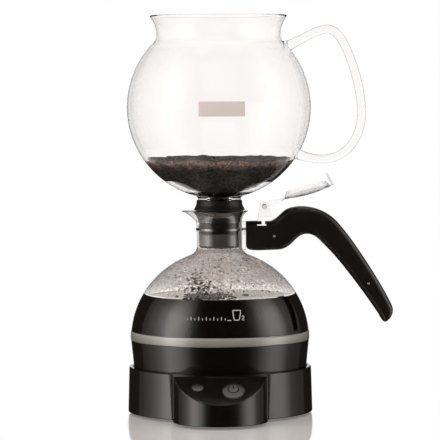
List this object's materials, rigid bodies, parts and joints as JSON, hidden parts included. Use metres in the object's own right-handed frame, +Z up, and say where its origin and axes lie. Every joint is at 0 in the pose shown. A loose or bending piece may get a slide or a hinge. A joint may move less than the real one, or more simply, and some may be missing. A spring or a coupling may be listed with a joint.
{
  "type": "electric vacuum coffee brewer",
  "caption": "Electric vacuum coffee brewer: powered round base with a front control panel, heated glass carafe with a hinged lid, and a glass brewing jug seated in its neck.",
  "frame": {"origin": "on the brewer's vertical axis, at the level of the table", "axes": "+Z up, +X towards the handles, -Y towards the control panel"},
  "size_m": [0.23, 0.2003, 0.345],
  "materials": {
    "black_gloss": "gloss",
    "black_satin": "satin",
    "black_matte": "matte",
    "black_rubber": "matte",
    "steel": "brushed",
    "aluminium": "satin",
    "element_metal": "oxidised",
    "brass": "polished",
    "circuit_board": "matte",
    "amber": "gloss",
    "ceramic": "matte",
    "clear_plastic": "clear",
    "clear_glass": "clear",
    "silicone": "satin",
    "coffee": "liquid",
    "grounds": "wet"
  },
  "bodies": {
    "base": {"base_shell": "black_gloss", "base_cover": "black_matte", "foot_ring": "black_rubber", "base_screws": "steel", "control_board": "circuit_board", "tact_switch": "black_matte", "indicator_led": "amber", "board_screws": "steel", "indicator_lens": "clear_plastic", "base_connector": "black_matte", "connector_contacts": "brass", "cord_gland": "black_rubber"},
    "button": {"power_button": "black_gloss"},
    "carafe": {"carafe_glass": "clear_glass", "seal_ring": "silicone", "heating_plate": "steel", "heat_spreader": "aluminium", "heating_element": "element_metal", "thermostat": "ceramic", "heater_cup": "black_gloss", "cup_screws": "steel", "carafe_socket": "black_matte", "socket_screws": "steel", "neck_band": "steel", "neck_saddle": "clear_plastic", "handle_front": "black_satin", "handle_back": "black_satin", "handle_screws": "steel", "lid_bracket": "clear_plastic", "lid_pin": "steel", "brewed_coffee": "coffee"},
    "lid": {"lid": "clear_plastic"},
    "jug": {"jug_glass": "clear_glass", "jug_handle": "clear_glass", "gasket": "black_rubber", "filter_disc": "black_matte", "filter_spring": "steel", "filter_hook": "steel", "coffee_grounds": "grounds"}
  },
  "joints": [
    {"name": "carafe_lift", "type": "slide", "parent": "base", "child": "carafe", "axis": [0, 0, 1], "range_m": [0, 0.04]},
    {"name": "jug_lift", "type": "slide", "parent": "carafe", "child": "jug", "axis": [0, 0, 1], "range_m": [0, 0.12]},
    {"name": "lid_hinge", "type": "hinge", "parent": "carafe", "child": "lid", "pos_m": [0.0392, 0, 0.1791], "axis": [0, -1, 0], "range_deg": [0, 8]},
    {"name": "button_press", "type": "slide", "parent": "base", "child": "button", "axis": [0, 0.5446, -0.8387], "range_m": [0, 0.0012], "stiffness_N_per_m": 300}
  ]
}
